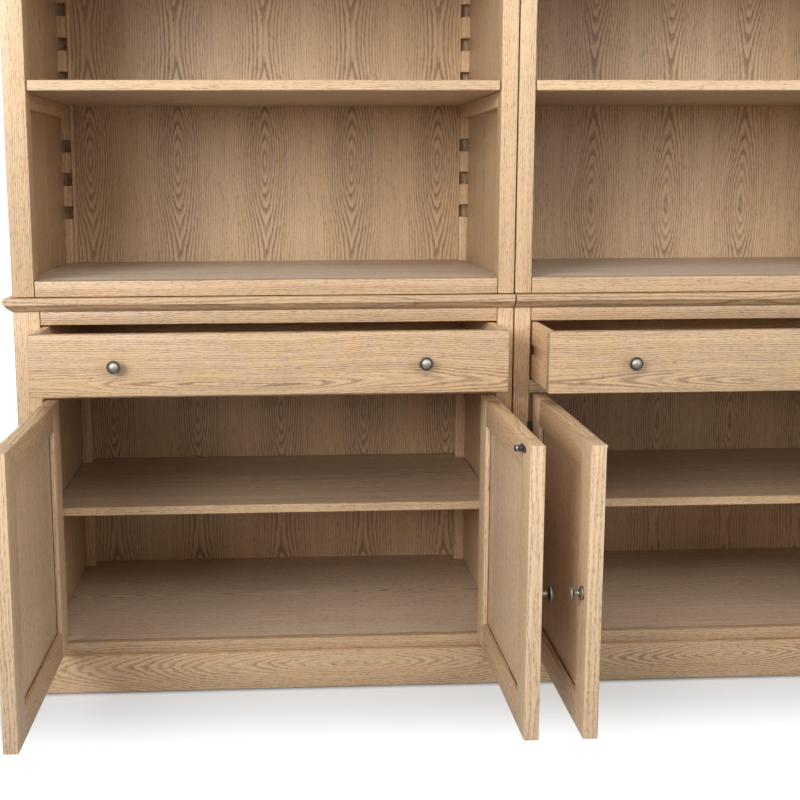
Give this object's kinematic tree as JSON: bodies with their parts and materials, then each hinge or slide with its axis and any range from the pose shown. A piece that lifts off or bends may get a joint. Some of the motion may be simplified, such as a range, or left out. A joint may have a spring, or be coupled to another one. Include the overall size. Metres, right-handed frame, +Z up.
{
  "type": "library bookcase",
  "caption": "Wide wooden library bookcase with open adjustable shelves on notched racks, above knobbed drawers and framed cupboard doors.",
  "frame": {"origin": "middle of the footprint on the floor, in the rest pose with the doors and drawers part open", "axes": "+Z up, -Y out of the front towards the reader, +X to the reader's right"},
  "size_m": [1.9516, 0.9632, 2.2],
  "materials": {
    "face_oak": "oiled oak, light honey",
    "back_oak": "oak veneer, in shade",
    "pewter": "aged pewter",
    "black_iron": "black, satin"
  },
  "bodies": {
    "carcass": {"left_hutch_outer_side": "face_oak", "left_hutch_seam_side": "face_oak", "left_hutch_back": "back_oak", "left_hutch_floor": "face_oak", "left_shelf_lower": "face_oak", "left_shelf_middle": "face_oak", "left_shelf_upper": "face_oak", "left_hutch_crown": "face_oak", "left_base_outer_side": "face_oak", "left_base_seam_side": "face_oak", "left_base_back": "back_oak", "left_base_floor": "face_oak", "left_plinth": "face_oak", "left_mid_rail": "face_oak", "left_cupboard_shelf": "face_oak", "left_waist_top": "face_oak", "left_outer_hinge_lower": "black_iron", "left_outer_hinge_upper": "black_iron", "left_seam_hinge_lower": "black_iron", "left_seam_hinge_upper": "black_iron", "right_hutch_outer_side": "face_oak", "right_hutch_seam_side": "face_oak", "right_hutch_back": "back_oak", "right_hutch_floor": "face_oak", "right_shelf_lower": "face_oak", "right_shelf_middle": "face_oak", "right_shelf_upper": "face_oak", "right_hutch_crown": "face_oak", "right_base_outer_side": "face_oak", "right_base_seam_side": "face_oak", "right_base_back": "back_oak", "right_base_floor": "face_oak", "right_plinth": "face_oak", "right_mid_rail": "face_oak", "right_cupboard_shelf": "face_oak", "right_waist_top": "face_oak", "right_outer_hinge_lower": "black_iron", "right_outer_hinge_upper": "black_iron", "right_seam_hinge_lower": "black_iron", "right_seam_hinge_upper": "black_iron"},
    "left_drawer": {"left_drawer_front": "face_oak", "left_drawer_box": "face_oak", "left_drawer_outer_knob": "pewter", "left_drawer_seam_knob": "pewter"},
    "left_outer_door": {"left_outer_door_frame": "face_oak", "left_outer_door_panel": "face_oak", "left_outer_door_knob": "pewter"},
    "left_seam_door": {"left_seam_door_frame": "face_oak", "left_seam_door_panel": "face_oak", "left_seam_door_knob": "pewter"},
    "right_drawer": {"right_drawer_front": "face_oak", "right_drawer_box": "face_oak", "right_drawer_outer_knob": "pewter", "right_drawer_seam_knob": "pewter"},
    "right_outer_door": {"right_outer_door_frame": "face_oak", "right_outer_door_panel": "face_oak", "right_outer_door_knob": "pewter"},
    "right_seam_door": {"right_seam_door_frame": "face_oak", "right_seam_door_panel": "face_oak", "right_seam_door_knob": "pewter"}
  },
  "joints": [
    {"name": "left_drawer_slide", "type": "slide", "parent": "carcass", "child": "left_drawer", "axis": [0, -1, 0], "range_m": [-0.127, 0.203]},
    {"name": "left_outer_door_hinge", "type": "hinge", "parent": "carcass", "child": "left_outer_door", "pos_m": [-0.9088, -0.04538, 0.35325], "axis": [0, 0, -1], "range_deg": [-90.5, 19.5]},
    {"name": "left_seam_door_hinge", "type": "hinge", "parent": "carcass", "child": "left_seam_door", "pos_m": [-0.0338, -0.04538, 0.35325], "axis": [0, 0, 1], "range_deg": [-90.3, 1]},
    {"name": "right_drawer_slide", "type": "slide", "parent": "carcass", "child": "right_drawer", "axis": [0, -1, 0], "range_m": [-0.153, 0.177]},
    {"name": "right_outer_door_hinge", "type": "hinge", "parent": "carcass", "child": "right_outer_door", "pos_m": [0.9088, -0.04538, 0.35325], "axis": [0, 0, 1], "range_deg": [-90.5, 19.5]},
    {"name": "right_seam_door_hinge", "type": "hinge", "parent": "carcass", "child": "right_seam_door", "pos_m": [0.0338, -0.04538, 0.35325], "axis": [0, 0, -1], "range_deg": [-90.3, 1]}
  ]
}
